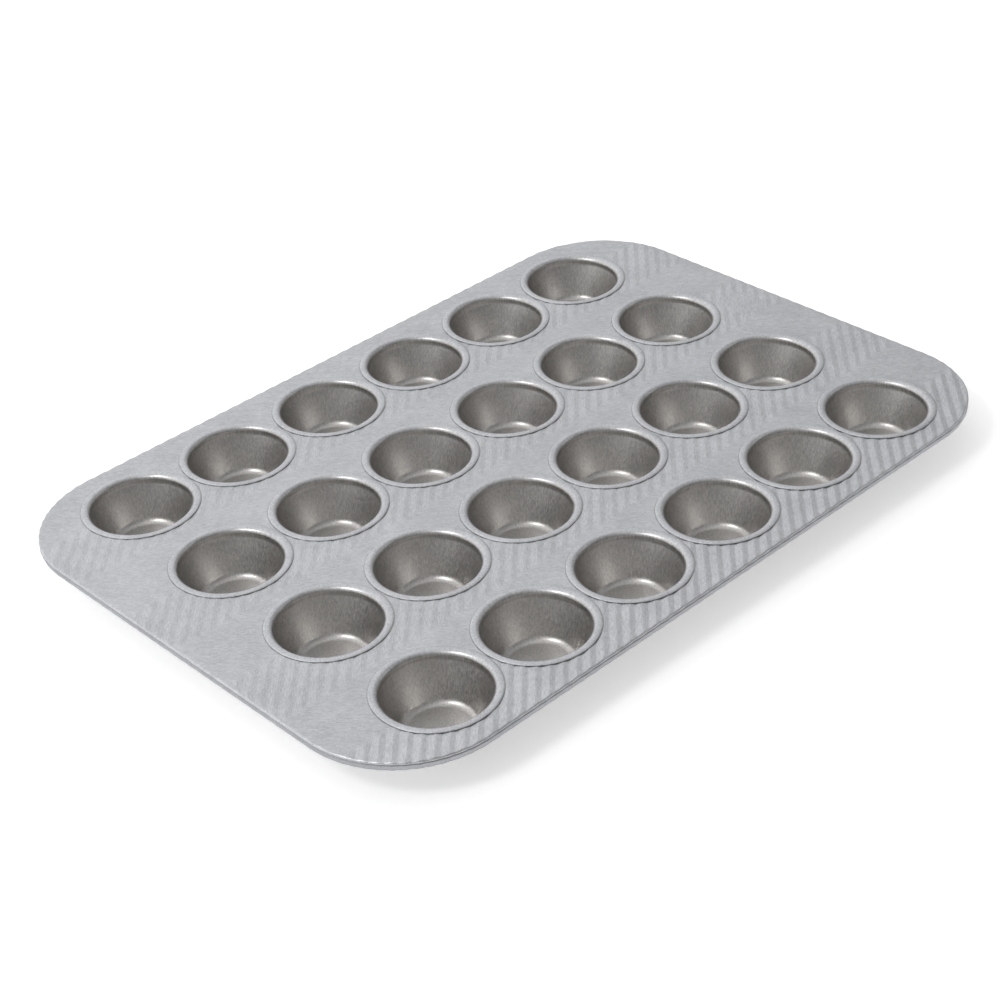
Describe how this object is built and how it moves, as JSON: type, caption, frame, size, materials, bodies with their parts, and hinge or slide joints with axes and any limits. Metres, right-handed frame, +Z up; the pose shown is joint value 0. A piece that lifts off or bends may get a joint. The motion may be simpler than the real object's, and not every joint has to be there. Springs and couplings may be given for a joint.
{
  "type": "muffin tin",
  "caption": "Rectangular mini muffin pan: a ribbed sheet-steel frame with a wired hem holding a grid of separately drawn round cups.",
  "frame": {"origin": "on the surface the pan stands on, under the middle of the tray", "axes": "+X along the long side (six cups), +Y along the short side (four cups), +Z up out of the cups' mouths"},
  "size_m": [0.4, 0.282, 0.0222],
  "materials": {
    "frame_steel": "satin, cool grey, pressed with a fine herringbone",
    "cup_steel": "satin, slightly warm grey, smooth drawn",
    "wire_steel": "plain bright wire"
  },
  "bodies": {
    "root": {"frame_sheet": "frame_steel", "rim_wire": "wire_steel", "cup_r1_c1": "cup_steel", "cup_r1_c2": "cup_steel", "cup_r1_c3": "cup_steel", "cup_r1_c4": "cup_steel", "cup_r1_c5": "cup_steel", "cup_r1_c6": "cup_steel", "cup_r2_c1": "cup_steel", "cup_r2_c2": "cup_steel", "cup_r2_c3": "cup_steel", "cup_r2_c4": "cup_steel", "cup_r2_c5": "cup_steel", "cup_r2_c6": "cup_steel", "cup_r3_c1": "cup_steel", "cup_r3_c2": "cup_steel", "cup_r3_c3": "cup_steel", "cup_r3_c4": "cup_steel", "cup_r3_c5": "cup_steel", "cup_r3_c6": "cup_steel", "cup_r4_c1": "cup_steel", "cup_r4_c2": "cup_steel", "cup_r4_c3": "cup_steel", "cup_r4_c4": "cup_steel", "cup_r4_c5": "cup_steel", "cup_r4_c6": "cup_steel"}
  },
  "joints": []
}
